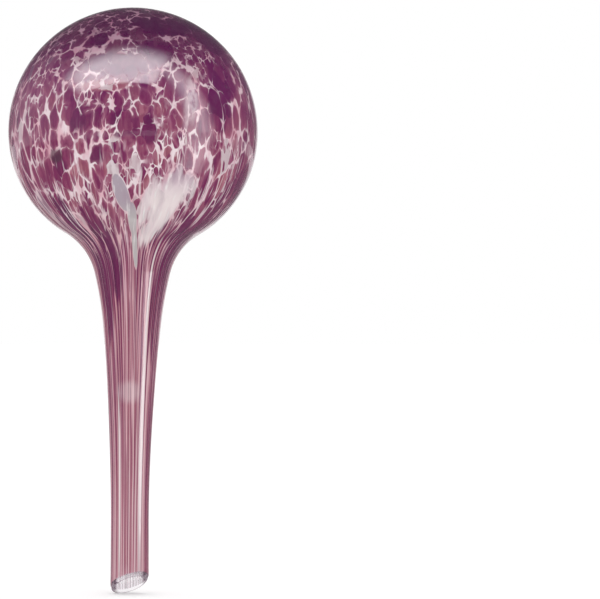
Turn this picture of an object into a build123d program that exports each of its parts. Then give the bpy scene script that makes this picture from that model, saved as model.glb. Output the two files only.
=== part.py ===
import os
from math import acos, cos, degrees, radians, sin, tan

from build123d import *

# A mouth-blown glass watering globe. Millimetres, +Z up. The stem runs along Z. The origin is on the
# stem's axis, level with the highest point of the slanted mouth, whose high side faces +X.

# Outside of the globe
bulb_diameter = 90.0
lower_bulb_share = 0.945  # curve of the bulb's fuller lower half, as a share of the radius above it
overall_height = 212.0  # crown to the lowest point of the mouth
neck_diameter = 27.3  # where the neck turns into the stem
neck_end_angle = 13.4  # degrees between the wall and upright there
neck_radius = 22.0  # hollow curve of the neck, seen from the side
stem_diameter = 13.8
stem_straight = 17.8  # straight end of the stem, above the mouth's high side
taper_break_share = 0.43  # slope at the middle of the stem's taper, as a share of the slope at its top
mouth_slant = 30.0  # degrees between the mouth and square to the stem

# Wall: clear glass, with a coat of melted colour chips as its outermost part
bulb_wall = 1.2
mouth_wall = 1.4
coat_thickness = 0.35

# Clear lip, between the end of the coat and the mouth
lip_at_high_side = 0.9
lip_at_low_side = 1.4
lip_round_share = 0.45  # rounding of the lip's two edges, as a share of the wall there

bulb_radius = bulb_diameter / 2
stem_radius = stem_diameter / 2
lip_radius = stem_radius - coat_thickness  # the coat stops short of the lip
lip_wall = mouth_wall - coat_thickness
mouth_drop = 2 * lip_radius * tan(radians(mouth_slant))
bulb_centre = Vector(0, overall_height - mouth_drop - bulb_radius)
lower_radius = bulb_radius * lower_bulb_share
lower_centre = bulb_centre + Vector(bulb_radius - lower_radius, 0)
neck_end_slope = radians(neck_end_angle)
break_slope = neck_end_slope * taper_break_share
neck_reach = lower_radius + neck_radius
neck_centre_across = neck_diameter / 2 + neck_radius * cos(neck_end_slope)
bulb_end_slope = acos((neck_centre_across - lower_centre.X) / neck_reach)
bulb_end_angle = degrees(bulb_end_slope)  # below the bulb's equator, where its wall turns into the neck
neck_centre = Vector(neck_centre_across, lower_centre.Y - neck_reach * sin(bulb_end_slope))


def bulb_lines(depth):
    """The bulb's two arcs, this deep inside the wall: from the crown to the equator, and on to the neck."""
    upper_arc = CenterArc(bulb_centre, bulb_radius - depth, 90, -90)
    lower_arc = CenterArc(lower_centre, lower_radius - depth, 0, -bulb_end_angle)
    return [upper_arc, lower_arc]


def neck_line(depth):
    """The neck's hollow arc, tangent to the bulb's lower arc."""
    turn = bulb_end_angle - neck_end_angle
    return CenterArc(neck_centre, neck_radius + depth, 180 - bulb_end_angle, turn)


def taper_lines(depth, foot_depth):
    """The stem's long taper: two arcs, tangent to the neck, to each other and to the straight end."""
    top = neck_line(depth) @ 1
    foot = Vector(stem_radius - foot_depth, stem_straight)
    run = top - foot
    upper_across = cos(break_slope) - cos(neck_end_slope)
    lower_across = 1 - cos(break_slope)
    upper_rise = sin(neck_end_slope) - sin(break_slope)
    lower_rise = sin(break_slope)
    # Both arcs together cover the run, across and upright, which sets the radius of each.
    balance = upper_rise * lower_across - lower_rise * upper_across
    lower_radius = (upper_rise * run.X - upper_across * run.Y) / balance
    joint = foot + Vector(lower_across, lower_rise) * lower_radius
    upper_arc = TangentArc(top, joint, tangent=(-sin(neck_end_slope), -cos(neck_end_slope)))
    lower_arc = TangentArc(joint, foot, tangent=upper_arc % 1)
    return [upper_arc, lower_arc]


def foot_line(foot_depth):
    """The stem's straight end, down to the level of the mouth's lowest point."""
    radius = stem_radius - foot_depth
    return Line((radius, stem_straight), (radius, -mouth_drop))


def turned(outside, inside):
    """The shell or ring between two runs of lines, turned about the stem's axis."""
    ends = [Line(outside[0] @ 0, inside[0] @ 0), Line(outside[-1] @ 1, inside[-1] @ 1)]
    section = make_face(Plane.XZ * Curve(outside + inside + ends))
    return revolve(section, Axis.Z)


def slanted_plane(height_at_high_side, climb):
    """A plane across the lip that climbs by this much from its -X side to its +X side."""
    upwards = Vector(-climb, 0, 2 * lip_radius)
    return Plane(origin=(lip_radius, 0, height_at_high_side), x_dir=(0, 1, 0), z_dir=upwards)


mouth_plane = slanted_plane(0, mouth_drop)
coat_end_plane = slanted_plane(lip_at_high_side, mouth_drop + lip_at_high_side - lip_at_low_side)


def above_lip(tube):
    return split(tube, bisect_by=coat_end_plane, keep=Keep.TOP)


def bulb():
    return turned(bulb_lines(coat_thickness), bulb_lines(bulb_wall))


def neck():
    return turned([neck_line(coat_thickness)], [neck_line(bulb_wall)])


def stem():
    outside = taper_lines(coat_thickness, coat_thickness) + [foot_line(coat_thickness)]
    inside = taper_lines(bulb_wall, mouth_wall) + [foot_line(mouth_wall)]
    return above_lip(turned(outside, inside))


def colour_coat():
    """One skin over bulb, neck and stem, which follows every curve of the glass under it."""
    runs = [
        [*bulb_lines(depth), neck_line(depth), *taper_lines(depth, depth), foot_line(depth)]
        for depth in (0, coat_thickness)
    ]
    return above_lip(turned(*runs))


def mouth_lip():
    """The bare clear wall between the end of the coat and the mouth, with both its edges melted round."""
    ring = turned([foot_line(coat_thickness)], [foot_line(mouth_wall)])
    ring = split(ring, bisect_by=coat_end_plane, keep=Keep.BOTTOM)
    ring = split(ring, bisect_by=mouth_plane, keep=Keep.TOP)
    rim = ring.faces().sort_by(Axis(origin=(0, 0, 0), direction=mouth_plane.z_dir))[0]
    return fillet(rim.edges(), lip_wall * lip_round_share)


nodes = {
    "bulb": bulb(),
    "neck": neck(),
    "stem": stem(),
    "colour_coat": colour_coat(),
    "mouth_lip": mouth_lip(),
}

os.makedirs("parts", exist_ok=True)
for name, shape in nodes.items():
    export_step(shape, f"parts/{name}.step")
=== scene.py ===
from bisect import bisect_left
from math import acos, atan2, cos, hypot, pi, radians, sin, tan
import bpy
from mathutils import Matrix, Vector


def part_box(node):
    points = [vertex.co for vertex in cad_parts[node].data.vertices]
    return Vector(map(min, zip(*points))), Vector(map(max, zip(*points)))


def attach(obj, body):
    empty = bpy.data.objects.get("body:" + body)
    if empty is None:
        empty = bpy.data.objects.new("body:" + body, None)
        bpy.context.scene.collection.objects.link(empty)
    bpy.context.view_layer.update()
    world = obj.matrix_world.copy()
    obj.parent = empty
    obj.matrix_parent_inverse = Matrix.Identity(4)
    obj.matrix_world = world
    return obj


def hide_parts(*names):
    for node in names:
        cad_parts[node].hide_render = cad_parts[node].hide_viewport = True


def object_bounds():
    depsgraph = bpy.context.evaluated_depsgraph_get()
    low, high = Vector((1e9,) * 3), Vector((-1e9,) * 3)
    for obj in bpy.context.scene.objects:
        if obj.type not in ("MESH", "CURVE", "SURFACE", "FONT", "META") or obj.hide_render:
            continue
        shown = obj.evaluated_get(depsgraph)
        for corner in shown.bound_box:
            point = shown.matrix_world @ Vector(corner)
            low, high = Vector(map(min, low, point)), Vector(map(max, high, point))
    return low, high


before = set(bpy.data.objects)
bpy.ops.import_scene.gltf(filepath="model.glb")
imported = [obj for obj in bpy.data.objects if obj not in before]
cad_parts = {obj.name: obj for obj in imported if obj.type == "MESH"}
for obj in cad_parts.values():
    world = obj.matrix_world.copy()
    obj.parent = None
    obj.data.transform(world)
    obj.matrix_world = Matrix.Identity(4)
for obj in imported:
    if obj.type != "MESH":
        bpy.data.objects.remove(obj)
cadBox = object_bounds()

from types import SimpleNamespace

import bpy
from mathutils import Matrix, Vector

scene = bpy.context.scene
scene.view_settings.view_transform = "Standard"

# the photograph's view
view = {
    "azimuth": 57.0,
    "distance": 1.3,
    "height": 0.09965,
    "sideways": 0.0607,  # the camera stands this far to the right of the stem's axis
    "roll": 0.49,
    "lens": 216.0,
    "sensor": 36.0,
    "clip": (0.01, 50.0),
}

viewTurn = radians(view["azimuth"])
towardViewer = Vector((sin(viewTurn), -cos(viewTurn), 0))
viewRight = Vector((cos(viewTurn), sin(viewTurn), 0))
worldUp = Vector((0, 0, 1))
viewerBearing = atan2(towardViewer.y, towardViewer.x)


def placed(right, up, back, at):
    # an object's matrix from its three axes and its place
    turn = Matrix((right, up, back)).transposed()
    return Matrix.Translation(at) @ turn.to_4x4()


def makeCamera():
    camera = bpy.data.objects.new("camera", bpy.data.cameras.new("camera"))
    scene.collection.objects.link(camera)
    camera.data.lens = view["lens"]
    camera.data.sensor_width = view["sensor"]
    camera.data.clip_start, camera.data.clip_end = view["clip"]
    roll = radians(view["roll"])
    right = viewRight * cos(roll) + worldUp * sin(roll)
    up = worldUp * cos(roll) - viewRight * sin(roll)
    at = viewRight * view["sideways"] + towardViewer * view["distance"] + worldUp * view["height"]
    camera.matrix_world = placed(right, up, towardViewer, at)
    scene.camera = camera


makeCamera()
print("camera placed")


# mesh helpers

def newPiece(name, points, faces):
    mesh = bpy.data.meshes.new(name)
    mesh.from_pydata(points, [], faces)
    piece = bpy.data.objects.new(name, mesh)
    scene.collection.objects.link(piece)
    return piece


def keep(mesh, name, values):
    # one number for each vertex, which the material reads
    mesh.attributes.new(name, "FLOAT", "POINT").data.foreach_set("value", values)


# shader helpers

def tint(red, green, blue):
    # a colour as a screen shows it, made linear
    def linear(level):
        level /= 255
        return level / 12.92 if level <= 0.04045 else ((level + 0.055) / 1.055) ** 2.4
    return (linear(red), linear(green), linear(blue), 1)


black = tint(0, 0, 0)
white = tint(255, 255, 255)


class Wire:
    # a socket that can stand in a sum
    def __init__(self, recipe, node, output):
        self.recipe = recipe
        self.node = node
        self.socket = node.outputs[output]

    def also(self, output):
        # another output of the same node
        return Wire(self.recipe, self.node, output)

    def maths(self, operation, *values):
        sockets = dict(enumerate(values))
        return self.recipe.node("ShaderNodeMath", {"operation": operation}, sockets)

    def __add__(self, other):
        return self.maths("ADD", self, other)

    def __radd__(self, other):
        return self.maths("ADD", other, self)

    def __sub__(self, other):
        return self.maths("SUBTRACT", self, other)

    def __rsub__(self, other):
        return self.maths("SUBTRACT", other, self)

    def __mul__(self, other):
        return self.maths("MULTIPLY", self, other)

    def __rmul__(self, other):
        return self.maths("MULTIPLY", other, self)

    def __truediv__(self, other):
        return self.maths("DIVIDE", self, other)

    def __rtruediv__(self, other):
        return self.maths("DIVIDE", other, self)

    def most(self, other):
        return self.maths("MAXIMUM", self, other)

    def rise(self, low, high):
        # 0 below low, 1 above high, smooth between
        sockets = {"Value": self, "From Min": low, "From Max": high}
        return self.recipe.node("ShaderNodeMapRange", {"interpolation_type": "SMOOTHSTEP"}, sockets)


class Recipe:
    # one material and the nodes in it
    def __init__(self, owner):
        owner.use_nodes = True
        self.tree = owner.node_tree
        self.tree.nodes.clear()

    def node(self, kind, settings={}, sockets={}, output=0):
        node = self.tree.nodes.new(kind)
        for name, value in settings.items():
            if name == "stops":
                self.setStops(node.color_ramp, value)
            else:
                setattr(node, name, value)
        for name, value in sockets.items():
            if isinstance(value, Wire):
                self.tree.links.new(value.socket, node.inputs[name])
            else:
                node.inputs[name].default_value = value
        return Wire(self, node, output) if len(node.outputs) else None

    def setStops(self, ramp, stops):
        while len(ramp.elements) < len(stops):
            ramp.elements.new(0.5)
        for element, (place, colour) in zip(ramp.elements, stops):
            element.position = place
            element.color = colour

    def attribute(self, name, output="Fac"):
        return self.node("ShaderNodeAttribute", {"attribute_name": name}, output=output)

    def noise(self, place, scale, detail=2.0, output="Fac"):
        sockets = {"Vector": place, "Scale": scale, "Detail": detail}
        return self.node("ShaderNodeTexNoise", {}, sockets, output)

    def cells(self, place, scale, feature="F1"):
        sockets = {"Vector": place, "Scale": scale}
        return self.node("ShaderNodeTexVoronoi", {"feature": feature}, sockets, "Distance")

    def vectorMaths(self, operation, first, second, output=0):
        sockets = {0: first, 1: second}
        return self.node("ShaderNodeVectorMath", {"operation": operation}, sockets, output)

    def scaled(self, vector, amount):
        sockets = {0: vector, "Scale": amount}
        return self.node("ShaderNodeVectorMath", {"operation": "SCALE"}, sockets)

    def colours(self, share, first, second):
        # first where share is 0, second where it is 1
        return self.node("ShaderNodeMix", {"data_type": "RGBA"}, {0: share, 6: first, 7: second}, 2)

    def shaders(self, share, first, second):
        return self.node("ShaderNodeMixShader", {}, {0: share, 1: first, 2: second})

    def bump(self, height, distance):
        sockets = {"Strength": 1.0, "Distance": distance, "Height": height}
        return self.node("ShaderNodeBump", {}, sockets)

    def clear(self):
        return self.node("ShaderNodeBsdfTransparent", {}, {"Color": globe["glassTint"]})

    def finish(self, surface):
        self.node("ShaderNodeOutputMaterial", {}, {"Surface": surface})


def newMaterial(name, kind=Recipe):
    material = bpy.data.materials.new(name)
    return material, kind(material)


# the shape that both pieces of the globe share, in metres

globe = {
    "bulbRadius": 0.045,
    "lowerBulb": 0.945,  # curve of the fuller lower half, as a share of that radius
    "neckRadius": 0.022,  # hollow curve between bulb and stem
    "neckWidth": 0.0273,
    "neckAngle": 13.4,
    "stemRadius": 0.0069,
    "straight": 0.0178,
    "taperBreak": 0.43,
    "slant": 30.0,
    "coatDepth": 0.00035,
    "lipHigh": 0.0009,  # bare lip under the coat, at the mouth's high side
    "lipLow": 0.0014,
    "around": 240,
    "upperRows": 64,
    "lowerRows": 46,
    "neckRows": 18,
    "taperRows": 26,
    "straightRows": 8,
    "edgeRows": 5,
    "waver": 0.00009,  # uneven blowing, which bends the reflections a little
    "waverFrom": 0.01,  # radius from which it is full
    # its waves: turns round, climb, share, start
    "waves": [(3, 41, 1.0, 0.0), (5, -63, 0.7, 1.9), (8, 97, 0.5, 0.6)],
    "glassTint": (0.985, 0.975, 0.985, 1),
    "ior": 1.5,
}

lipRadius = globe["stemRadius"] - globe["coatDepth"]
mouthDrop = 2 * lipRadius * tan(radians(globe["slant"]))
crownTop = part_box("colour_coat")[1].z
bulbHeight = crownTop - globe["bulbRadius"]
neckSlope = radians(globe["neckAngle"])
breakSlope = neckSlope * globe["taperBreak"]
lowerRadius = globe["bulbRadius"] * globe["lowerBulb"]
lowerOut = globe["bulbRadius"] - lowerRadius
neckOut = globe["neckWidth"] / 2 + globe["neckRadius"] * cos(neckSlope)
bulbEnd = acos((neckOut - lowerOut) / (lowerRadius + globe["neckRadius"]))
neckHeight = bulbHeight - (lowerRadius + globe["neckRadius"]) * sin(bulbEnd)


def arcRows(centre, radius, start, end, count):
    # (radius, height) along an arc, without its first point
    rows = []
    for step in range(1, count + 1):
        angle = start + (end - start) * step / count
        rows.append((centre[0] + radius * cos(angle), centre[1] + radius * sin(angle)))
    return rows


def wallRows(depth, footDepth):
    # rows from just under the crown to the top of the stem's straight end
    upperCentre, lowerCentre = (0, bulbHeight), (lowerOut, bulbHeight)
    rows = arcRows(upperCentre, globe["bulbRadius"] - depth, pi / 2, 0, globe["upperRows"])
    rows += arcRows(lowerCentre, lowerRadius - depth, 0, -bulbEnd, globe["lowerRows"])
    neckCentre, neckRadius = (neckOut, neckHeight), globe["neckRadius"] + depth
    rows += arcRows(neckCentre, neckRadius, pi - bulbEnd, pi - neckSlope, globe["neckRows"])

    # the taper's two arcs together cover its run, which sets the radius of each
    foot = Vector((globe["stemRadius"] - footDepth, globe["straight"]))
    run = Vector(rows[-1]) - foot
    upper = Vector((cos(breakSlope) - cos(neckSlope), sin(neckSlope) - sin(breakSlope)))
    lower = Vector((1 - cos(breakSlope), sin(breakSlope)))
    balance = upper.y * lower.x - lower.y * upper.x
    footRadius = (upper.y * run.x - upper.x * run.y) / balance
    topRadius = (run.x - footRadius * lower.x) / upper.x
    footCentre = foot + Vector((footRadius, 0))
    topCentre = footCentre + Vector((cos(breakSlope), -sin(breakSlope))) * (topRadius - footRadius)
    taperRows = globe["taperRows"]
    rows += arcRows(topCentre, topRadius, pi - neckSlope, pi - breakSlope, taperRows)
    rows += arcRows(footCentre, footRadius, pi - breakSlope, pi, taperRows)
    return rows


def slantedEnd(highSide, lowSide):
    # height of a slanted end at x; the high side faces +X
    def height(x):
        return lowSide + (highSide - lowSide) * (x + lipRadius) / (2 * lipRadius)
    return height


mouthEnd = slantedEnd(0, -mouthDrop)
coatEnd = slantedEnd(globe["lipHigh"], globe["lipLow"] - mouthDrop)


def straightRows(radius, end, edge, inward):
    # rows of the straight end down to a slanted end whose edge is rounded
    rows = []
    top = globe["straight"]
    for step in range(1, globe["straightRows"] + 1):
        share = step / globe["straightRows"]
        rows.append((radius, lambda x, share=share: top + (end(x) + edge - top) * share))
    for step in range(1, globe["edgeRows"] + 1):
        angle = pi / 2 * step / globe["edgeRows"]
        drop = edge * (1 - sin(angle))
        rows.append((radius - inward * (1 - cos(angle)), lambda x, drop=drop: end(x) + drop))
    return rows


def waver(bearing, height):
    wave = 0
    for turns, climb, share, start in globe["waves"]:
        wave += share * sin(turns * bearing + climb * height + start)
    return globe["waver"] * wave


def turnedShell(name, outside, inside, top, innerTop):
    # a closed shell: rows run down the outside from the crown and back up the inside
    around = globe["around"]
    points = [(0, 0, top)]
    skins = [1.0]
    for side, rows in ((1.0, outside), (0.0, inside)):
        for radius, height in rows:
            for step in range(around):
                bearing = 2 * pi * step / around
                level = height(radius * cos(bearing)) if callable(height) else height
                reach = radius + waver(bearing, level) * min(1, radius / globe["waverFrom"])
                points.append((reach * cos(bearing), reach * sin(bearing), level))
                skins.append(side)
    points.append((0, 0, innerTop))
    skins.append(0.0)
    lastRow = len(outside) + len(inside) - 1
    faces = []
    for step in range(around):
        following = (step + 1) % around
        faces.append((0, 1 + step, 1 + following))
        for row in range(lastRow):
            here, there = 1 + row * around, 1 + (row + 1) * around
            faces.append((here + step, there + step, there + following, here + following))
        last = 1 + lastRow * around
        faces.append((last + following, last + step, len(points) - 1))
    piece = newPiece(name, points, faces)
    piece.data.polygons.foreach_set("use_smooth", [True] * len(faces))
    piece.data.update()
    return piece, skins


# the coat of melted chips

chipCoat = {
    # its shape, in metres
    "innerDepth": 0.0003,
    "edge": 0.0006,
    "edgeCurl": 0.92,  # how far the edge curls in, as a share of the depth
    "innerEdge": 0.00005,
    # how the pattern lies on the globe
    "cellsRound": 72,
    "flowTop": 0.6,  # 1 leaves the chips round at the bulb's widest, less draws them upright
    "flowFall": 1.9,  # how fast the chips are drawn out towards the neck
    "sideStretch": 0.42,  # how much longer the chips are on the two sides of the bulb
    "sways": [(3.4, 0.085), (10.0, 0.05), (30.0, 0.018)],  # how often and how far it wanders
    "farAway": 9.0,  # no placed chip counts as further off, in half widths of it
    # chips, and the veins between them that open and close, in cells
    "smallChips": 1.8,  # how many small ones come to a large one, side by side
    "corners": (0.3, 0.95),  # distances from a chip's middle between which it melts round
    "cornerCut": 0.21,
    "softness": 0.1,
    "veinWidth": 0.14,
    "fineOpening": 0.4,  # share of the finer noise in their width
    "elsewhere": (3.1, 0.7, 0),  # where both noises of their width are read
    "closed": 0.145,
    "massClosed": 0.04,
    "upperClosed": 0.06,
    "lowerOpen": 0.03,
    "crushedOpen": 0.05,
    "smallOpen": 0.01,
    "missing": (0.95, 0.96),  # chance above which a gap with small chips takes a chip's place
    "gapBare": (0.4, 0.45),  # chance above which a small one is left out there too
    "lilacBorder": (1.16, 1.26),
    # heights between which each thing comes in
    "heights": {
        "upperHalf": (0.15, 0.185),
        "lowerHalf": (0.12, 0.155),
        "crown": (0.172, 0.198),
        "neck": (0.116, 0.14),
        "stem": (0.085, 0.14),
        "stemDeep": (0.092, 0.125),
        "stemFoot": (0.02, 0.055),
        "threadTop": (0.13, 0.165),
        "threadPale": (0.11, 0.135),
        "threadFoot": (0.06, 0.09),
        "driftLilac": (0.132, 0.146),
        "driftVeil": (0.134, 0.15),
        "lilacGrey": (0.127, 0.134),
    },
    # noises: upright scale as a share of the level one, scale, detail, and levels for 0 and 1
    "noises": {
        "opening": (1, 8.0, 4.0, 0.36, 0.7),
        "fineOpening": (1, 21.0, 1.0, 0.35, 0.65),
        "crowded": (1, 4.3, 2.0, 0.52, 0.6),
        "patches": (1, 2.6, 3.0, 0.3, 0.7),
        "streaks": (0.3, 30.0, 3.0),
        "grain": (1, 60.0, 2.0),
        "veinPink": (1, 9.0, 3.0, 0.44, 0.7),
        "broken": (0.6, 26.0, 2.0, 0.42, 0.58),
        "wisps": (0.35, 24.0, 2.0),
        "driftTop": (1, 9.0, 2.0, 0.4, 0.6),
        "sparks": (0.5, 34.0, 3.0, 0.54, 0.68),
        "drawn": (0.9, 20.0, 4.0),
        "threads": (0.25, 32.0, 2.0, 0.59, 0.69),
        "hem": (1, 26.0, 1.0),
        "swell": (1, 7.0, 2.0),
    },
    # uneven outlines of the placed chips: noise scale, spread, where they start to end, and end
    "outlines": {
        "lilac": (12.0, 0.3, 1.08, 1.18),
        "masses": (12.0, 0.7, 1.15, 1.5),
        "crushed": (14.0, 0.9, 0.9, 1.6),
        "salmon": (16.0, 0.8, 1.1, 1.6),
        "smoky": (18.0, 0.8, 1.0, 1.6),
        "drifts": (9.0, 1.1, 1.4, 2.6),
        "glow": (40.0, 0.3, 0.6, 1.4),
    },
    "wispSpread": 1.2,
    # a chip's shade along its ramp: what adds to it, and what takes from it
    "lighter": {"own": 0.6, "patches": 0.42, "streaks": 0.26, "grain": 0.16},
    "darker": {"all": 0.16, "masses": 0.25, "neck": 0.2},
    "shadeStreaks": (0.35, 0.75),
    "chipRamp": {
        "deepPlum": 0.0,
        "plum": 0.28,
        "mulberry": 0.5,
        "mauve": 0.7,
        "roseBrown": 0.88,
        "rose": 1.0,
    },
    # the drawn streaks' shade along theirs
    "stemShade": {"all": 0.03, "masses": -0.14, "stemDeep": -0.07, "stemFoot": -0.05},
    "stemRamp": {
        "deepPlum": 0.34,
        "stemPlum": 0.43,
        "stemRose": 0.5,
        "stemPink": 0.56,
        "stemPale": 0.6,
    },
    "tints": {
        "deepPlum": tint(104, 26, 80),
        "plum": tint(122, 34, 88),
        "mulberry": tint(138, 54, 96),
        "mauve": tint(153, 76, 108),
        "roseBrown": tint(160, 84, 106),
        "rose": tint(186, 116, 134),
        "chipRim": tint(206, 138, 160),
        "lilacGrey": tint(176, 160, 174),
        "streakGrey": tint(196, 192, 192),
        "smoke": tint(82, 50, 68),
        "salmon": tint(190, 112, 120),
        "upperViolet": tint(106, 26, 94),
        "crownPlum": tint(58, 8, 52),
        "crownVein": tint(140, 82, 116),
        "paleVein": tint(255, 239, 243),
        "pinkVein": tint(238, 188, 200),
        "thinVein": tint(176, 108, 136),
        "drift": tint(252, 238, 238),
        "driftLilac": tint(210, 186, 200),
        "spark": tint(255, 252, 250),
        "thread": tint(238, 188, 204),
        "stemPlum": tint(132, 44, 90),
        "stemRose": tint(174, 99, 117),
        "stemPink": tint(208, 141, 152),
        "stemPale": tint(249, 219, 224),
    },
    # how strongly each thing covers what it lies on
    "strengths": {
        "chipRim": 0.34,
        "lilacChip": 0.45,
        "upperViolet": 0.58,
        "salmon": 0.4,
        "crownPlum": 0.7,
        "crownVein": 0.75,
        "neckPink": 0.56,
        "driftLilac": 0.8,
        "driftTop": 0.35,
        "driftSpark": 0.8,
        "driftVeil": 0.45,
        "drift": 0.85,
        "stem": 0.8,
        "thread": 0.8,
        "lilacSpark": 0.5,
        "lilac": 0.9,
        "smoke": 0.72,
        "glow": 0.38,
    },
    "rimWidth": (-0.02, 0.2),
    "lilacChance": (0.972, 0.98),
    # how much the veins dim where they close, break up, lie low or high, or turn to the side; the
    # dimming on the two sides, as seen from the view, is painted shade
    "dims": {"closing": 0.7, "broken": 0.85, "lower": 0.5, "upper": 0.42, "side": 0.5},
    "closing": (0.1, 0.5),
    "driftChance": 0.35,  # how much a chip's own chance counts for a drift over it
    "driftChips": (0.4, 0.85),
    "driftAll": (0.1, 0.95),
    "paintedReflectionStreaks": (0.3, 0.6),
    # how much each place hides; smallChip is what it takes off
    "covers": {
        "chip": 0.95,
        "smallChip": 0.1,
        "vein": 0.94,
        "gap": 0.72,
        "stem": 0.9,
        "lilac": 0.92,
        "drift": 0.94,
    },
    "hemWaver": 0.0006,
    "hemSoft": (0.0, 0.0005),
    # far side of the mouth, where the coat wears thin in streaks
    "farTurn": (0.2, 0.7),
    "farHeight": (-0.0015, 0.0015),
    "farThin": 0.45,
    "farStreaks": (0.42, 0.58),
    "farStreaky": 0.5,
    # surface
    "bumps": {"chips": 0.7, "streaks": 0.15, "swell": 0.8},
    "stemFlat": 0.85,
    "relief": 0.00005,
    "roughness": (0.03, 0.04),  # least, and what the streaks add
    "haze": 0.07,  # pale veil of the clear glass where the surface turns away
    "hazeRoughness": 0.4,
    "hazeTint": (0.8, 0.72, 0.8, 1),
}

# places that stand out: bearing to the right of the view in degrees, height, width, length,
# lean in degrees
placedChips = {
    "lilac": [
        (-3.4, 0.1365, 0.0050, 0.0140, -16),
        (2.6, 0.1280, 0.0030, 0.0110, -4),
        (4.8, 0.1200, 0.0018, 0.0190, -5),
    ],
    "masses": [
        (-8, 0.1818, 0.0220, 0.0085, 0),
        (-25, 0.1165, 0.0075, 0.0350, 0),
        (-3, 0.1606, 0.0085, 0.0110, 0),
        (7, 0.1585, 0.0120, 0.0105, 12),
        (17, 0.1868, 0.0120, 0.0080, 0),
        (28, 0.1960, 0.0260, 0.0070, 0),
        (-20, 0.1905, 0.0060, 0.0060, 0),
        (-25, 0.1640, 0.0075, 0.0120, -16),
        (-35, 0.1440, 0.0085, 0.0140, -18),
        (60, 0.1930, 0.0200, 0.0130, 0),
        (-44, 0.1160, 0.0080, 0.0600, 0),
        (60, 0.1080, 0.0080, 0.0700, 0),
        # the next mass, a dark band down the stem's right edge as seen from the view, is partly a
        # dark streak and partly painted shade
        (64, 0.0450, 0.0034, 0.1500, 0),
        (-72, 0.0500, 0.0026, 0.1500, 0),
        (80, 0.1500, 0.0300, 0.0600, 0),
        (52, 0.1770, 0.0150, 0.0140, 0),
        (45, 0.1670, 0.0120, 0.0180, -15),
        (48, 0.1280, 0.0120, 0.0200, 30),
    ],
    "crushed": [
        (-26, 0.1365, 0.0200, 0.0120, -25),
        (-20, 0.1270, 0.0120, 0.0140, -20),
        (-42, 0.1330, 0.0140, 0.0160, -30),
        (-9, 0.1585, 0.0080, 0.0100, 0),
        (-10, 0.1745, 0.0220, 0.0050, 0),
        (-20, 0.1700, 0.0070, 0.0070, 0),
    ],
    "salmon": [
        (-11, 0.1740, 0.0200, 0.0040, 0),
    ],
    "smoky": [
        (-36, 0.1492, 0.0070, 0.0052, -20),
    ],
    "drifts": [
        (25.5, 0.1385, 0.0145, 0.0150, 25),
        (20.5, 0.1314, 0.0125, 0.0165, 30),
        (18, 0.1255, 0.0080, 0.0130, 15),
        (10, 0.1325, 0.0048, 0.0160, 8),
        (33, 0.0450, 0.0016, 0.1200, 0),
        (-30, 0.0320, 0.0008, 0.0800, 0),
    ],
    # glow: painted reflections, a curved pale band on the bulb's right and a soft pale band across
    # the stem, laid on in streaks
    "glow": [
        (30, 0.1690, 0.0055, 0.0240, 12),
        (-2, 0.0660, 0.0105, 0.0085, 0),
    ],
}


class CoatRecipe(Recipe):
    # nodes that read what the coat's mesh keeps, with the values of chipCoat's tables
    def __init__(self, owner):
        super().__init__(owner)
        self.flow = self.attribute("flow", "Vector")
        self.height = self.attribute("height")

    def above(self, name):
        return self.height.rise(*chipCoat["heights"][name])

    def pattern(self, name, place=None):
        stretch, scale, detail, *levels = chipCoat["noises"][name]
        place = place or self.flow
        if stretch != 1:
            place = self.vectorMaths("MULTIPLY", place, (1, 1, stretch))
        noise = self.noise(place, scale, detail)
        return noise.rise(*levels) if levels else noise

    def away(self, kind):
        # unevenly 1 on the outline of the placed chips of a kind, more outside
        scale, spread = chipCoat["outlines"][kind][:2]
        return self.attribute(kind) + self.noise(self.flow, scale, 1.0) * spread

    def inside(self, kind, away=None):
        away = away or self.away(kind)
        return 1 - away.rise(*chipCoat["outlines"][kind][2:])

    def ramp(self, name, share):
        stops = [(place, chipCoat["tints"][colour]) for colour, place in chipCoat[name].items()]
        return self.node("ShaderNodeValToRGB", {"stops": stops}, {"Fac": share})

    def laid(self, name, share, under, over):
        # a colour laid over another where share is 1, as strongly as the table says
        if isinstance(over, str):
            over = chipCoat["tints"][over]
        return self.colours(share * chipCoat["strengths"][name], under, over)


def chipCells(coat, place, scale, veinWidth):
    # chips with their corners melted round: cover, distance to the border, three chances each
    centre = coat.cells(place, scale)
    melted = centre.rise(*chipCoat["corners"]) * chipCoat["cornerCut"]
    border = coat.cells(place, scale, "DISTANCE_TO_EDGE") - melted
    chance = coat.node("ShaderNodeSeparateColor", {}, {"Color": centre.also("Color")})
    return border.rise(veinWidth, veinWidth + chipCoat["softness"]), border, chance


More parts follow.
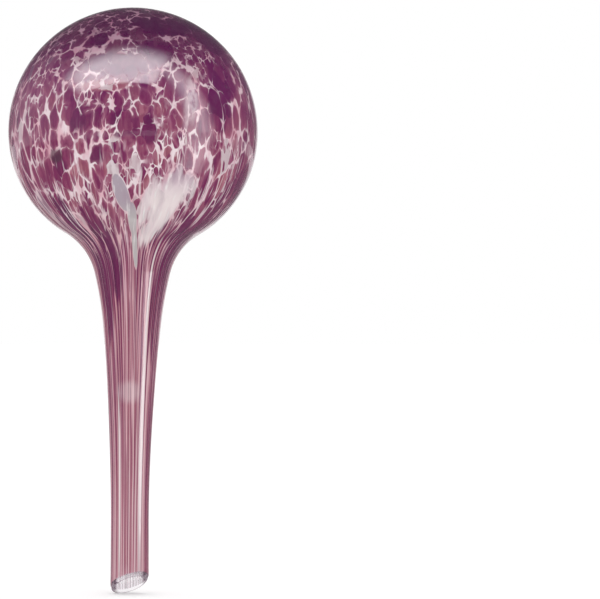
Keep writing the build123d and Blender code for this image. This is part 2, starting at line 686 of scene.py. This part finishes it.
def coatLayout(coat):
    # where each thing lies in the coat, from 0 to 1
    place = coat.flow
    for scale, amount in chipCoat["sways"]:
        noise = coat.noise(coat.flow, scale, 1.0, "Color")
        swing = coat.vectorMaths("SUBTRACT", noise, (0.5, 0.5, 0.5))
        place = coat.vectorMaths("ADD", place, coat.scaled(swing, amount))

    spots = SimpleNamespace()
    wisps = coat.pattern("wisps") * chipCoat["wispSpread"]
    lilacAway = coat.away("lilac")
    spots.drift = coat.inside("drifts", coat.away("drifts") + wisps)
    spots.lilac = coat.inside("lilac", lilacAway)
    spots.mass = coat.inside("masses")
    spots.upper = coat.above("upperHalf")
    spots.crown = coat.above("crown")
    spots.neck = 1 - coat.above("neck")
    spots.stem = 1 - coat.above("stem")
    spots.streaks = coat.pattern("streaks")
    spots.drawn = coat.pattern("drawn")
    spots.sparks = coat.pattern("sparks")

    elsewhere = coat.vectorMaths("ADD", coat.flow, chipCoat["elsewhere"])
    fine = coat.pattern("fineOpening", elsewhere) * chipCoat["fineOpening"]
    spots.opening = coat.pattern("opening", elsewhere) * (1 - chipCoat["fineOpening"]) + fine
    crushed = coat.inside("crushed")
    lower = 1 - coat.above("lowerHalf")
    veinWidth = spots.opening * chipCoat["veinWidth"] * (1 - spots.mass) - chipCoat["closed"]
    veinWidth = veinWidth - spots.mass * chipCoat["massClosed"]
    veinWidth = veinWidth - spots.upper * chipCoat["upperClosed"]
    veinWidth = veinWidth + lower * chipCoat["lowerOpen"] + crushed * chipCoat["crushedOpen"]

    scale = chipCoat["cellsRound"] / (2 * pi)
    large, spots.border, spots.chance = chipCells(coat, place, scale, veinWidth)
    scale *= chipCoat["smallChips"]
    veinWidth = veinWidth + chipCoat["smallOpen"]
    small, _, spots.smallChance = chipCells(coat, place, scale, veinWidth)
    crowded = coat.pattern("crowded").most(crushed) * (1 - spots.mass)
    spots.missing = spots.chance.also("Blue").rise(*chipCoat["missing"]) * (1 - spots.mass)
    spots.crowded = crowded.most(spots.missing)
    chips = large * (1 - spots.crowded) + small * spots.crowded
    chips = chips * (1 - spots.missing * spots.smallChance.rise(*chipCoat["gapBare"]))
    spots.chips = chips * lilacAway.rise(*chipCoat["lilacBorder"])
    return spots


def chipColours(coat, spots):
    lighter, darker = chipCoat["lighter"], chipCoat["darker"]
    own = spots.chance * (1 - spots.crowded) + spots.smallChance * spots.crowded
    shade = own * lighter["own"] + coat.pattern("patches") * lighter["patches"]
    shade = shade + spots.streaks.rise(*chipCoat["shadeStreaks"]) * lighter["streaks"]
    shade = shade + coat.pattern("grain") * lighter["grain"] - darker["all"]
    shade = shade - spots.mass * darker["masses"] - spots.neck * darker["neck"]
    colour = coat.ramp("chipRamp", shade)
    rim = (1 - spots.border.rise(*chipCoat["rimWidth"])) * (1 - spots.mass)
    colour = coat.laid("chipRim", rim, colour, "chipRim")
    lilacChip = spots.chance.also("Green").rise(*chipCoat["lilacChance"]) * (1 - spots.mass)
    colour = coat.laid("lilacChip", lilacChip, colour, "lilacGrey")
    colour = coat.laid("upperViolet", spots.upper, colour, "upperViolet")
    return coat.laid("salmon", coat.inside("salmon"), colour, "salmon")


def veinColours(coat, spots):
    tints, dims = chipCoat["tints"], chipCoat["dims"]
    colour = coat.colours(coat.pattern("veinPink"), tints["paleVein"], tints["pinkVein"])
    dim = 1 - spots.opening.rise(*chipCoat["closing"]) * dims["closing"]
    dim = dim * (1 - coat.pattern("broken") * dims["broken"])
    dim = dim * (1 - dims["lower"] + spots.upper * dims["lower"])
    # veins dimmed towards the two sides as seen from the view: painted shade
    dim = dim.most(spots.upper * dims["upper"]).most(coat.attribute("side") * dims["side"])
    colour = coat.colours(dim, colour, tints["thinVein"])
    colour = coat.laid("crownVein", spots.crown, colour, "crownVein")
    return coat.laid("neckPink", spots.neck, colour, "stemPink")


def driftColours(coat, spots):
    tints, strengths = chipCoat["tints"], chipCoat["strengths"]
    top = coat.above("driftLilac") * strengths["driftLilac"]
    top = top + coat.pattern("driftTop") * strengths["driftTop"]
    colour = coat.colours(top, tints["drift"], tints["driftLilac"])
    return coat.laid("driftSpark", spots.sparks, colour, "spark")


def stemColours(coat, spots):
    parts = chipCoat["stemShade"]
    shade = spots.drawn + parts["all"] + spots.mass * parts["masses"]
    shade = shade + coat.above("stemDeep") * parts["stemDeep"]
    shade = shade + coat.above("stemFoot") * parts["stemFoot"]
    return coat.ramp("stemRamp", shade)


def coatCover(coat, spots):
    covers = chipCoat["covers"]
    veins = covers["vein"] - spots.missing * (covers["vein"] - covers["gap"])
    chips = covers["chip"] - spots.smallChance * covers["smallChip"]
    chips = chips - spots.stem * (covers["chip"] - covers["stem"])
    cover = veins * (1 - spots.chips) + chips * spots.chips
    cover = cover.most(spots.lilac * covers["lilac"]).most(spots.drift * covers["drift"])
    hem = coat.attribute("hem") + (coat.pattern("hem") - 0.5) * chipCoat["hemWaver"]
    streaky = spots.drawn.rise(*chipCoat["farStreaks"]) * chipCoat["farStreaky"]
    worn = coat.attribute("farEnd") * (chipCoat["farThin"] + streaky)
    return cover * hem.rise(*chipCoat["hemSoft"]) * coat.attribute("skin") * (1 - worn)


def chipMaterial():
    material, coat = newMaterial("meltedChips", CoatRecipe)
    tints = chipCoat["tints"]
    spots = coatLayout(coat)

    # the chips, with what lies over them alone
    driftColour = driftColours(coat, spots)
    driftVeil = 1 - coat.above("driftVeil") * chipCoat["strengths"]["driftVeil"]
    driftChips = spots.drift + spots.chance * chipCoat["driftChance"]
    driftChips = driftChips.rise(*chipCoat["driftChips"]) * driftVeil
    colour = coat.laid("drift", driftChips, chipColours(coat, spots), driftColour)
    colour = coat.laid("crownPlum", spots.crown, colour, "crownPlum")
    stem = spots.stem * (1 - driftChips)
    colour = coat.laid("stem", stem, colour, stemColours(coat, spots))

    # the whole coat
    colour = coat.colours(spots.chips, veinColours(coat, spots), colour)
    drift = spots.drift.rise(*chipCoat["driftAll"]) * driftVeil
    colour = coat.laid("drift", drift, colour, driftColour)
    threads = coat.pattern("threads") * (1 - coat.above("threadTop")) * coat.above("threadFoot")
    threadColour = coat.colours(coat.above("threadPale"), tints["thread"], tints["paleVein"])
    colour = coat.laid("thread", threads, colour, threadColour)
    lilacColour = coat.colours(coat.above("lilacGrey"), tints["streakGrey"], tints["lilacGrey"])
    lilacColour = coat.laid("lilacSpark", spots.sparks, lilacColour, "spark")
    colour = coat.laid("lilac", spots.lilac, colour, lilacColour)
    colour = coat.laid("smoke", coat.inside("smoky"), colour, "smoke")
    # painted reflections: pale streaks where the glow places lie
    glow = coat.inside("glow") * spots.drawn.rise(*chipCoat["paintedReflectionStreaks"])
    colour = coat.laid("glow", glow, colour, "paleVein")

    # surface
    bumps = chipCoat["bumps"]
    relief = spots.chips * bumps["chips"] + spots.streaks * bumps["streaks"]
    relief = relief * (1 - spots.stem * chipCoat["stemFlat"])
    relief = relief + coat.pattern("swell") * bumps["swell"]
    smooth, streaky = chipCoat["roughness"]
    sockets = {
        "Base Color": colour,
        "Roughness": smooth + spots.streaks * streaky,
        "Normal": coat.bump(relief, chipCoat["relief"]),
        "IOR": globe["ior"],
        "Sheen Weight": chipCoat["haze"],
        "Sheen Roughness": chipCoat["hazeRoughness"],
        "Sheen Tint": chipCoat["hazeTint"],
    }
    body = coat.node("ShaderNodeBsdfPrincipled", {}, sockets)
    coat.finish(coat.shaders(coatCover(coat, spots), coat.clear(), body))
    return material


def coatFlow(rows):
    # gives the pattern's place at a height: share of the circle, and height in the pattern,
    # which is drawn out towards the mouth
    bulbRadius, flowTop = globe["bulbRadius"], chipCoat["flowTop"]
    depths, places = [0.0], [0.0]
    earlier = (bulbRadius, bulbHeight)
    for radius, height in rows:
        if height < bulbHeight:
            run = hypot(radius - earlier[0], height - earlier[1]) / bulbRadius
            rate = flowTop * (radius / bulbRadius) ** chipCoat["flowFall"]
            depths.append(bulbHeight - height)
            places.append(places[-1] - run * rate)
            earlier = (radius, height)

    def flowAt(z):
        if z >= bulbHeight:
            lift = min(1, (z - bulbHeight) / bulbRadius)
            return (1 - lift * lift) ** 0.5, lift * flowTop
        depth = bulbHeight - z
        row = bisect_left(depths, depth)
        share = (depth - depths[row - 1]) / (depths[row] - depths[row - 1])
        return 1, places[row - 1] + (places[row] - places[row - 1]) * share

    return flowAt


def placedDistance(point, kind):
    # 1 on the outline of the nearest placed chip of this kind, less inside
    nearest = chipCoat["farAway"]
    bearing = atan2(point[1], point[0]) - viewerBearing
    radius = hypot(point[0], point[1])
    for right, height, width, length, lean in placedChips[kind]:
        turn = (bearing - radians(right) + pi) % (2 * pi) - pi
        across = turn * radius
        up = point[2] - height
        tilt = radians(lean)
        first = (across * cos(tilt) - up * sin(tilt)) / (width / 2)
        second = (across * sin(tilt) + up * cos(tilt)) / (length / 2)
        nearest = min(nearest, hypot(first, second))
    return nearest


def evenRise(value, low, high):
    # 0 below low, 1 above high, even between
    return min(1, max(0, (value - low) / (high - low)))


def makeCoat():
    inner = chipCoat["innerDepth"]
    outerRadius = globe["stemRadius"]
    outside = wallRows(0, 0)
    end = straightRows(outerRadius, coatEnd, chipCoat["edge"], inner * chipCoat["edgeCurl"])
    innerEnd = straightRows(outerRadius - inner, coatEnd, chipCoat["innerEdge"], 0)
    inside = (wallRows(inner, inner) + innerEnd[: globe["straightRows"]])[::-1]
    piece, skins = turnedShell("colourCoat", outside + end, inside, crownTop, crownTop - inner)

    # what the material reads
    mesh = piece.data
    flowAt = coatFlow(outside + [(outerRadius, -mouthDrop)])
    flow = []
    kept = {name: [] for name in ("hem", "height", "farEnd", "side", *placedChips)}
    for vertex in mesh.vertices:
        x, y, z = vertex.co
        bearing = atan2(y, x)
        turn = bearing - viewerBearing
        spread, level = flowAt(z)
        # side: how far a point lies to either side of the view; it stretches the chips there and
        # carries the veins' painted shade on the two sides
        side = (spread * sin(turn)) ** 2
        level *= 1 - chipCoat["sideStretch"] * side
        flow += [spread * cos(bearing), spread * sin(bearing), level]
        kept["side"].append(side)
        kept["hem"].append(z - coatEnd(x))
        kept["height"].append(z)
        far = evenRise(-cos(turn), *chipCoat["farTurn"])
        kept["farEnd"].append(far * (1 - evenRise(z, *chipCoat["farHeight"])))
        for kind in placedChips:
            kept[kind].append(placedDistance((x, y, z), kind))
    mesh.attributes.new("flow", "FLOAT_VECTOR", "POINT").data.foreach_set("vector", flow)
    keep(mesh, "skin", skins)
    for name, values in kept.items():
        keep(mesh, name, values)
    mesh.materials.append(chipMaterial())
    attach(piece, "root")
    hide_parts("colour_coat")


makeCoat()
print("coat made")


# the clear glass under it

clearGlass = {
    "depth": 0.00036,
    "bulbWall": 0.0012,
    "mouthWall": 0.0014,
    "lipRound": 0.00047,
    "drawScale": 420.0,
    "drawStretch": 0.06,
    "drawLines": 0.00002,
    "smudgeScale": 60.0,
    "roughness": (0.004, 0.02),  # least, and what the smudges add
    "lipTop": 0.0015,  # the lip's own look starts this far above the end of the coat
    # the lip's painted edge shade, mauve grey where the glass turns away from the eye
    "lipEdgeShade": tint(126, 96, 116),
    "lipGrain": 300.0,
    "lipRoughness": 0.05,
    "lipCover": (0.03, 0.9),  # least, and what its outline adds
    "lipTurn": (0.27, 0.77),  # how far it turns away before its outline starts and is full
}


def glassMaterial():
    material, recipe = newMaterial("clearGlass")
    place = recipe.node("ShaderNodeTexCoord", {}, {}, "Object")
    drawnPlace = recipe.vectorMaths("MULTIPLY", place, (1, 1, clearGlass["drawStretch"]))
    drawn = recipe.noise(drawnPlace, clearGlass["drawScale"])
    smooth, smudged = clearGlass["roughness"]
    sockets = {
        "Base Color": globe["glassTint"],
        "Roughness": smooth + recipe.noise(place, clearGlass["smudgeScale"]) * smudged,
        "IOR": globe["ior"],
        "Transmission Weight": 1.0,
        "Normal": recipe.bump(drawn, clearGlass["drawLines"]),
    }
    glass = recipe.node("ShaderNodeBsdfPrincipled", {}, sockets)
    ray = recipe.node("ShaderNodeLightPath", {}, {}, "Is Shadow Ray")
    recipe.finish(recipe.shaders(ray.most(ray.also("Is Diffuse Ray")), glass, recipe.clear()))
    return material


def lipMaterial():
    # clear where it faces the eye, mauve grey along its outlines: painted shade of the glass's
    # rounded edge where it turns away
    material, recipe = newMaterial("clearLip")
    place = recipe.node("ShaderNodeTexCoord", {}, {}, "Object")
    grain = recipe.noise(place, clearGlass["lipGrain"])
    facing = recipe.node("ShaderNodeLayerWeight", {}, {}, "Facing")
    least, added = clearGlass["lipCover"]
    pale = chipCoat["tints"]["lilacGrey"]
    sockets = {
        "Base Color": recipe.colours(grain, clearGlass["lipEdgeShade"], pale),
        "Roughness": clearGlass["lipRoughness"],
    }
    edge = recipe.node("ShaderNodeBsdfPrincipled", {}, sockets)
    # painted edge shade comes in where the lip turns away from the eye
    cover = facing.rise(*clearGlass["lipTurn"]) * added + least
    recipe.finish(recipe.shaders(cover, recipe.clear(), edge))
    return material


def makeGlass():
    depth, bulbWall = clearGlass["depth"], clearGlass["bulbWall"]
    mouthWall, lipRound = clearGlass["mouthWall"], clearGlass["lipRound"]
    outerRadius, innerRadius = globe["stemRadius"] - depth, globe["stemRadius"] - mouthWall
    outside = wallRows(depth, depth) + straightRows(outerRadius, mouthEnd, lipRound, lipRound)
    innerEnd = straightRows(innerRadius, mouthEnd, lipRound, -lipRound)
    inside = (wallRows(bulbWall, mouthWall) + innerEnd)[::-1]
    piece, _ = turnedShell("glassBody", outside, inside, crownTop - depth, crownTop - bulbWall)
    mesh = piece.data
    mesh.materials.append(glassMaterial())
    mesh.materials.append(lipMaterial())
    for polygon in mesh.polygons:
        if polygon.center.z < coatEnd(polygon.center.x) + clearGlass["lipTop"]:
            polygon.material_index = 1
    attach(piece, "root")
    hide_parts("bulb", "neck", "stem", "mouth_lip")


makeGlass()
print("glass made")


# studio

studio = {
    "floorSize": 12.0,
    "floorColour": (0.88, 0.88, 0.88, 1),
    "floorRoughness": 0.9,
    "floorLift": 0.22,  # what the camera, glass and gloss see on top of the lit floor
    "worldLevel": 1.0,
    "roomRadius": 5.0,
    "roomAround": 72,
    "roomRings": 18,
    "roofRing": 0.02,  # size of the last ring, round the roof, in radians
    "flagRings": (0.02, 0.3, 0.8, 1.4),  # grey flag on the floor, seen in the gloss alone
    "flagLift": 0.001,
    "roomLow": 0.24,  # grey room, seen in the gloss alone, paler near the floor
    "roomHigh": 0.07,
    "roomTurn": 0.55,  # height, as a share of the radius, where it has turned dark
    "roomLeft": 0.5,  # added on the left
    "leftTurn": (0.45, 0.95),  # how far left that starts and is full
    "backdropHalf": 14.0,  # degrees to each side of the view, and above the floor
    "backdropTop": 8.0,
    "boxLevel": 11.0,
    "overheadAt": (-0.42, 0.9, 0.54),  # right, up and toward the viewer from the bulb's centre
    "overheadSize": (1.95, 0.96),
    "overheadDim": 0.35,  # level of its left end
    "overheadFull": 0.4,
    # soft edges: where a card starts, is full, starts to fade and ends
    "overheadAcross": (0.0, 0.15, 0.9, 1.0),
    "overheadAlong": (0.0, 0.1, 0.6, 1.0),
    "cardAcross": (0.0, 0.5, 0.5, 1.0),
    "cardAlong": (0.0, 0.04, 0.6, 1.0),
    # two cards on the right: turn from the viewer in degrees, distance, width, foot and top,
    # how far foot and top stand off to the back, brightness
    "cards": {
        "bulbCard": (65.0, 1.2, 0.8, 0.1, 2.2, 0.06, -0.36, 6.0),
        "stemCard": (61.0, 0.25, 0.17, -0.006, 0.2, 0.0, 0.0, 5.0),
    },
}


def makeWorld():
    world = bpy.data.worlds.new("studio")
    scene.world = world
    recipe = Recipe(world)
    sockets = {"Color": white, "Strength": studio["worldLevel"]}
    sky = recipe.node("ShaderNodeBackground", {}, sockets)
    recipe.node("ShaderNodeOutputWorld", {}, {"Surface": sky})


def makeFloor():
    half = studio["floorSize"] / 2
    low = cadBox[0].z
    corners = [(-half, -half, low), (half, -half, low), (half, half, low), (-half, half, low)]
    floor = newPiece("floor", corners, [(0, 1, 2, 3)])
    material, recipe = newMaterial("paleFloor")
    ray = recipe.node("ShaderNodeLightPath", {}, {}, "Is Camera Ray")
    seen = ray.most(ray.also("Is Glossy Ray")).most(ray.also("Is Transmission Ray"))
    sockets = {
        "Base Color": studio["floorColour"],
        "Roughness": studio["floorRoughness"],
        "Specular IOR Level": 0.0,
        "Emission Color": recipe.colours(seen, black, white),
        "Emission Strength": studio["floorLift"],
    }
    recipe.finish(recipe.node("ShaderNodeBsdfPrincipled", {}, sockets))
    floor.data.materials.append(material)


def glossAlone(piece):
    # seen in reflections and by nothing else
    for ray in ("camera", "diffuse", "transmission", "volume_scatter", "shadow"):
        setattr(piece, "visible_" + ray, False)


def makeRoom():
    # a dome down to the floor, open where the white backdrop stands behind the globe
    around, rings = studio["roomAround"], studio["roomRings"]
    away = atan2(-towardViewer.y, -towardViewer.x)
    points, faces = [], []

    def addRing(radius, height):
        for step in range(around):
            turn = away + 2 * pi * step / around
            points.append((radius * cos(turn), radius * sin(turn), height))

    for ring in range(rings):
        angle = (pi / 2 - studio["roofRing"]) * ring / (rings - 1)
        addRing(studio["roomRadius"] * cos(angle), studio["roomRadius"] * sin(angle))
    for radius in studio["flagRings"]:
        addRing(radius, cadBox[0].z + studio["flagLift"])
    for ring in range(rings + len(studio["flagRings"]) - 1):
        low = 90 * ring / (rings - 1) < studio["backdropTop"] or ring >= rings
        for step in range(around):
            side = 360 * min(step, around - 1 - step) / around
            if ring == rings - 1 or low and side < studio["backdropHalf"]:
                continue
            first, second = ring * around + step, ring * around + (step + 1) % around
            faces.append((first, second, second + around, first + around))
    faces.append(tuple(range((rings - 1) * around, rings * around)))  # roof
    room = newPiece("room", points, faces)

    material, recipe = newMaterial("greyRoom")
    place = recipe.node("ShaderNodeTexCoord", {}, {}, "Object")
    split = recipe.node("ShaderNodeSeparateXYZ", {}, {"Vector": place})
    climb = (split.also("Z") / studio["roomRadius"]).rise(0.0, studio["roomTurn"])
    left = recipe.vectorMaths("DOT_PRODUCT", place, -viewRight, "Value") / studio["roomRadius"]
    level = studio["roomLow"] - climb * (studio["roomLow"] - studio["roomHigh"])
    level = level + left.rise(*studio["leftTurn"]) * studio["roomLeft"]
    sockets = {"Red": level, "Green": level, "Blue": level}
    grey = recipe.node("ShaderNodeCombineColor", {}, sockets)
    recipe.finish(recipe.node("ShaderNodeEmission", {}, {"Color": grey, "Strength": 1.0}))
    room.data.materials.append(material)
    glossAlone(room)


def softEdged(place, start, full, fading, end):
    return place.rise(start, full) * (1 - place.rise(fading, end))


def makeShine(name, matrix, corners, level, shape):
    # a bright card; shape gives its brightness from across and along, both 0 to 1
    points = [tuple(matrix @ Vector((across, along, 0))) for across, along in corners]
    card = newPiece(name, points, [(0, 1, 2, 3)])
    card.data.uv_layers.new(name="card").data.foreach_set("uv", [0, 0, 1, 0, 1, 1, 0, 1])
    material, recipe = newMaterial(name + "Glow")
    split = recipe.node("ShaderNodeSeparateXYZ", {}, {"Vector": recipe.node("ShaderNodeUVMap")})
    dark = recipe.node("ShaderNodeBsdfTransparent")
    glow = recipe.node("ShaderNodeEmission", {}, {"Color": white, "Strength": level})
    recipe.finish(recipe.shaders(shape(split, split.also("Y")), dark, glow))
    card.data.materials.append(material)
    glossAlone(card)


def makeOverhead():
    # the large soft window over the bulb, dimmer on its left
    half, depth = studio["overheadSize"][0] / 2, studio["overheadSize"][1] / 2
    across, rise, toward = studio["overheadAt"]
    at = viewRight * across + towardViewer * toward + worldUp * (rise + bulbHeight)
    corners = [(-half, -depth), (half, -depth), (half, depth), (-half, depth)]

    def shape(across, along):
        dim = studio["overheadDim"]
        sides = dim + across.rise(0.0, studio["overheadFull"]) * (1 - dim)
        sides = sides * softEdged(across, *studio["overheadAcross"])
        return sides * softEdged(along, *studio["overheadAlong"])

    matrix = placed(viewRight, -towardViewer, worldUp, at)
    makeShine("overhead", matrix, corners, studio["boxLevel"], shape)


def makeCards():
    # upright cards, which draw the curved band on the bulb and the long pale line down the stem
    def shape(across, along):
        sides = softEdged(across, *studio["cardAcross"])
        return sides * softEdged(along, *studio["cardAlong"])

    for name, values in studio["cards"].items():
        turn, distance, width, low, high, foot, top, level = values
        facing = viewRight * sin(radians(turn)) + towardViewer * cos(radians(turn))
        half = width / 2
        corners = [(foot - half, low), (foot + half, low), (top + half, high), (top - half, high)]
        matrix = placed(worldUp.cross(facing), worldUp, facing, facing * distance)
        makeShine(name, matrix, corners, level, shape)


makeWorld()
makeFloor()
makeRoom()
makeOverhead()
makeCards()
print("studio made")
